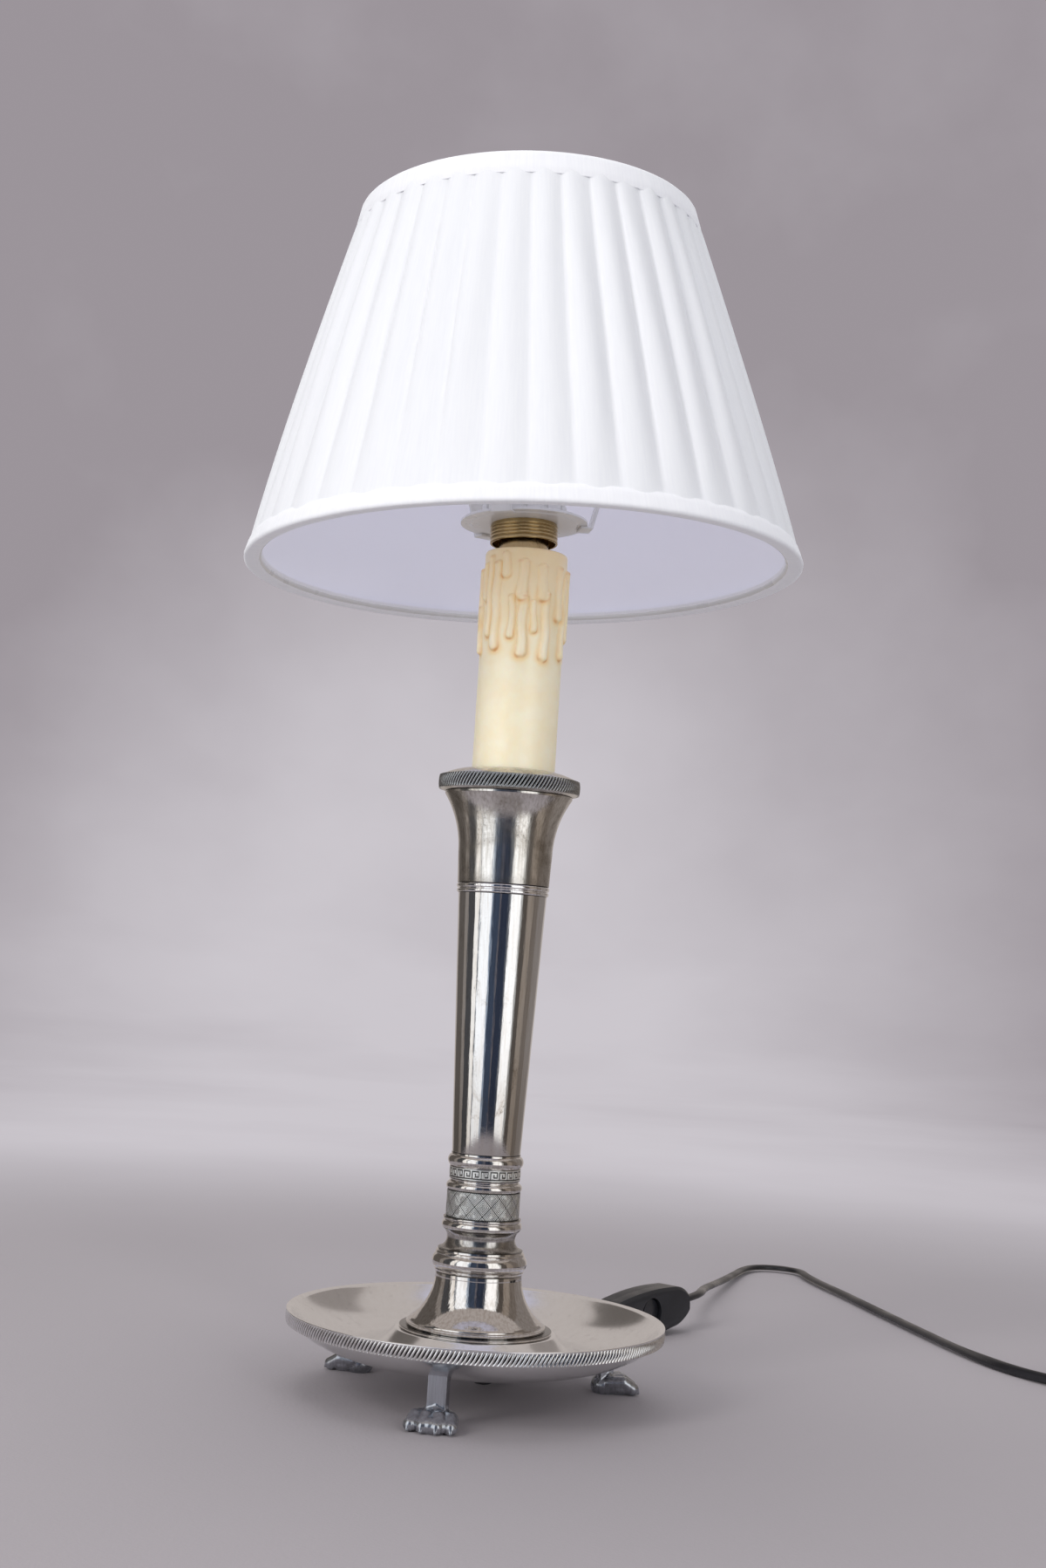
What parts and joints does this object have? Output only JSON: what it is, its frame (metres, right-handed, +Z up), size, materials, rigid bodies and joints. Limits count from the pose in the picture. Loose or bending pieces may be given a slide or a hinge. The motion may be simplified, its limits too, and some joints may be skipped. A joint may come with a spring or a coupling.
{
  "type": "candlestick table lamp",
  "caption": "Candlestick table lamp: fluted dish on lion paws, turned stem, wax-dripped candle sleeve, bayonet holder, pleated cone shade and a switched cord",
  "frame": {"origin": "on the surface it stands on, on the axis of the stem", "axes": "+Z up along the stem, +Y to the back, where the cord leaves"},
  "size_m": [0.5034, 0.5473, 0.5283],
  "materials": {
    "silver_plate": "polished silver plate, tarnished",
    "candle_wax": "cream, satin, with wax drips",
    "aged_brass": "aged",
    "bright_brass": "machined",
    "phenolic": "moulded",
    "white_enamel": "white enamel",
    "white_plastic": "moulded",
    "shade_fabric": "pleated",
    "shade_lining": "laminate",
    "trim_tape": "woven tape",
    "opal_glass": "opal",
    "cap_metal": "stamped",
    "black_plastic": "moulded",
    "black_flex": "smooth",
    "steel": "plated"
  },
  "bodies": {
    "base": {"dish": "silver_plate", "dish_rim_band": "silver_plate", "front_foot": "silver_plate", "right_foot": "silver_plate", "left_foot": "silver_plate", "step_ring": "silver_plate", "bell_foot": "silver_plate", "knop": "silver_plate", "stem_neck": "silver_plate", "lower_bead": "silver_plate", "lozenge_band": "silver_plate", "middle_bead": "silver_plate", "key_band": "silver_plate", "upper_bead": "silver_plate", "column": "silver_plate", "cup_bead": "silver_plate", "cup": "silver_plate", "drip_pan": "silver_plate", "pan_rim_band": "silver_plate", "candle_sleeve": "candle_wax", "lower_shade_ring": "aged_brass", "holder_cap": "aged_brass", "holder_barrel": "aged_brass", "switch_terminals": "bright_brass", "candle_seat": "bright_brass", "plug_pins": "bright_brass", "holder_insulator": "phenolic", "switch_front_shell": "black_plastic", "switch_back_shell": "black_plastic", "plug_body": "black_plastic", "coil_tie": "black_plastic", "cord_bush": "black_plastic", "lamp_flex": "black_flex", "plug_flex": "black_flex", "cord_coil": "black_flex", "plug_lead": "black_flex", "inner_flex": "black_flex", "centre_tube": "steel", "base_washer": "steel", "base_nut": "steel", "holder_locknut": "steel", "switch_screws": "steel"},
    "upper_ring": {"upper_shade_ring": "white_plastic"},
    "shade": {"fitter_disc": "white_enamel", "front_arm": "white_enamel", "right_arm": "white_enamel", "left_arm": "white_enamel", "top_wire_ring": "white_enamel", "bottom_wire_ring": "white_enamel", "shade_liner": "shade_lining", "pleated_cover": "shade_fabric", "top_trim": "trim_tape", "bottom_trim": "trim_tape"},
    "bulb": {"bulb_cap": "cap_metal", "bulb_glass": "opal_glass", "bulb_pins": "bright_brass"},
    "plungers": {"contact_plungers": "bright_brass"},
    "rocker": {"switch_rocker": "black_plastic"},
    "lever": {"contact_lever": "bright_brass"}
  },
  "joints": [
    {"name": "shade_turn", "type": "hinge", "parent": "base", "child": "shade", "pos_m": [0, 0, 0.365], "axis": [-0.0452, 0.0256, 0.9987], "continuous": true},
    {"name": "ring_turn", "type": "hinge", "parent": "base", "child": "upper_ring", "pos_m": [0, 0, 0.365], "axis": [-0.0452, 0.0256, 0.9987], "continuous": true},
    {"name": "bulb_press", "type": "slide", "parent": "base", "child": "bulb", "axis": [-0.0452, 0.0256, 0.9987], "range_m": [-0.0025, 0], "stiffness_N_per_m": 1500, "springref_m": 0.002},
    {"name": "plunger_travel", "type": "slide", "parent": "base", "child": "plungers", "axis": [-0.0452, 0.0256, 0.9987], "range_m": [-0.0025, 0]},
    {"name": "rocker_tilt", "type": "hinge", "parent": "base", "child": "rocker", "pos_m": [0.08688, 0.16386, 0.0124], "axis": [-0.0583, -0.0648, 0.9962], "range_deg": [-16, 0]},
    {"name": "lever_tilt", "type": "hinge", "parent": "base", "child": "lever", "pos_m": [0.08212, 0.16814, 0.0124], "axis": [-0.0583, -0.0648, 0.9962], "range_deg": [0, 16]}
  ],
  "couplings": [
    {"joint": "plunger_travel", "follows": "bulb_press", "ratio": 1},
    {"joint": "lever_tilt", "follows": "rocker_tilt", "ratio": -1}
  ]
}
